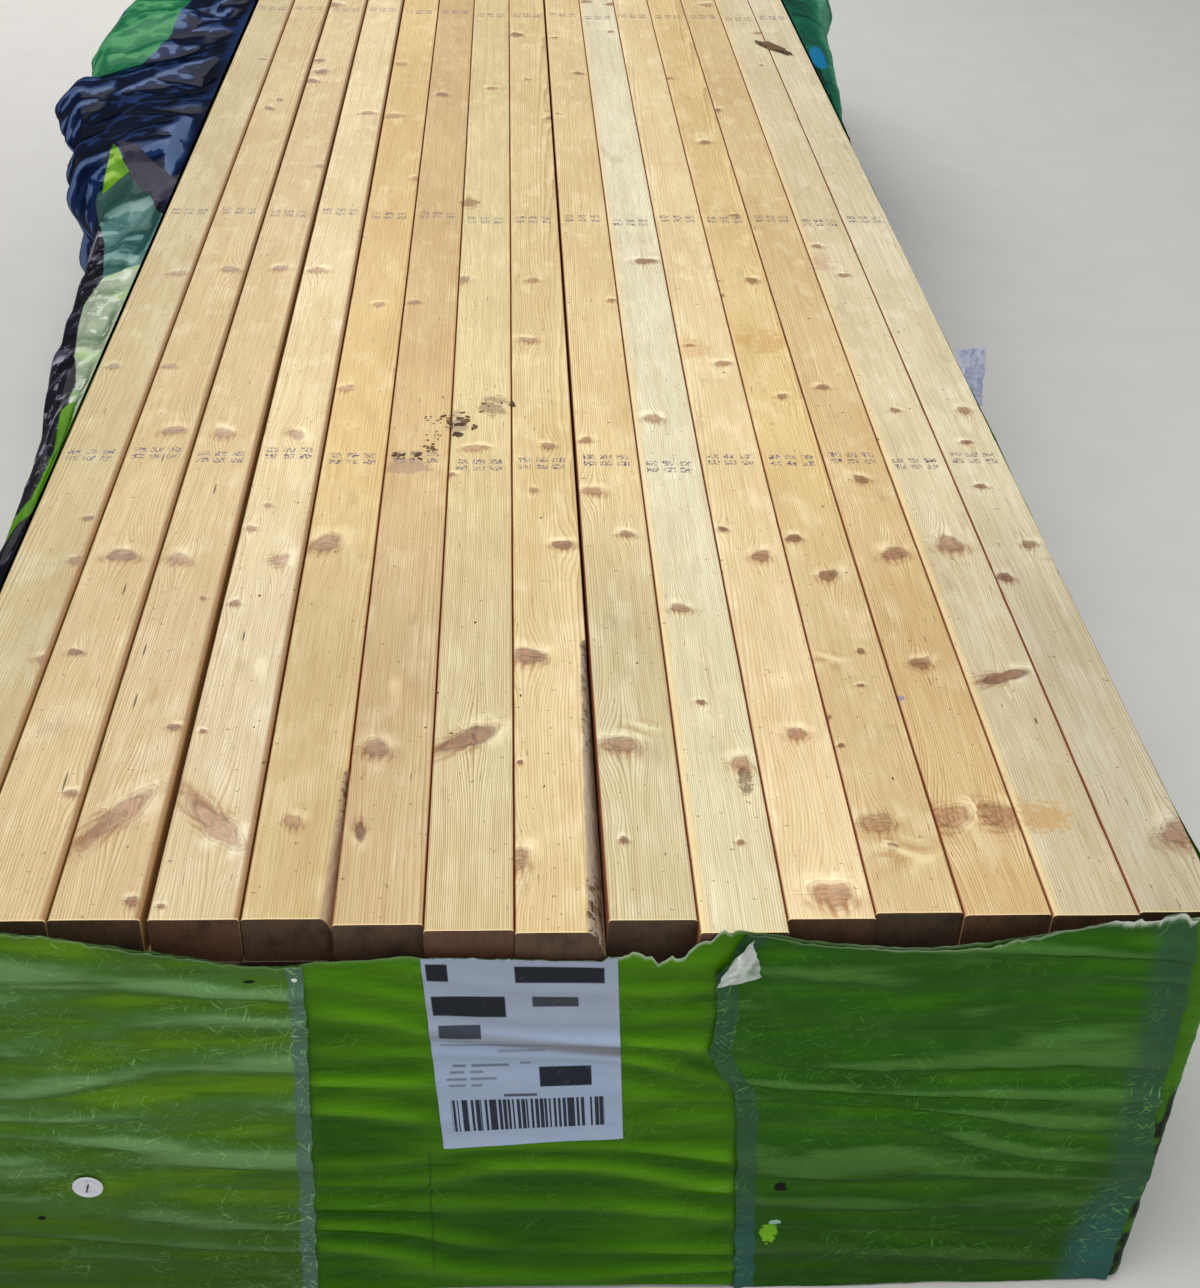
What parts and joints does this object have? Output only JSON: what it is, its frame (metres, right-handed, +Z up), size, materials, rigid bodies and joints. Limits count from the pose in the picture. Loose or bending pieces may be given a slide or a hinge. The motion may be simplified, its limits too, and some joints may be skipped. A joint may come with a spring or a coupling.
{
  "type": "bundle of pine studs",
  "caption": "Long bundle of planed softwood studs stacked in layers, its film wrap torn open along the top, with a shipping label on the near end.",
  "frame": {"origin": "middle of the stack's underside, on the face of the middle stud of the lowest layer", "axes": "+Y along the studs from the labelled end to the far end, +Z up, +X to the right seen from the labelled end"},
  "size_m": [1.509, 3.6362, 0.4608],
  "materials": {
    "pine": null,
    "printed_film": "bright green polyethylene film, glossy and creased",
    "milky_film": "milky translucent film over green, scratched and crinkled",
    "dark_film": "dark blue black inner face of the film, crumpled, with green outer face",
    "label_paper": null,
    "white_plastic": "satin",
    "staple_wire": "dull galvanised wire"
  },
  "bodies": {
    "root": {"stud_layer_01": "pine", "stud_layer_02": "pine", "stud_layer_03": "pine", "stud_layer_04": "pine", "stud_layer_05": "pine", "stud_layer_06": "pine", "stud_layer_07": "pine", "stud_layer_08": "pine", "stud_layer_09": "pine", "stud_layer_10": "pine", "film_wrap": "printed_film", "near_left_flap": "milky_film", "near_right_flap": "milky_film", "far_left_flap": "milky_film", "far_right_flap": "milky_film", "left_top_sheet": "dark_film", "right_top_sheet": "dark_film", "label": "label_paper", "cap_washer": "white_plastic", "cap_staple": "staple_wire"}
  },
  "joints": []
}
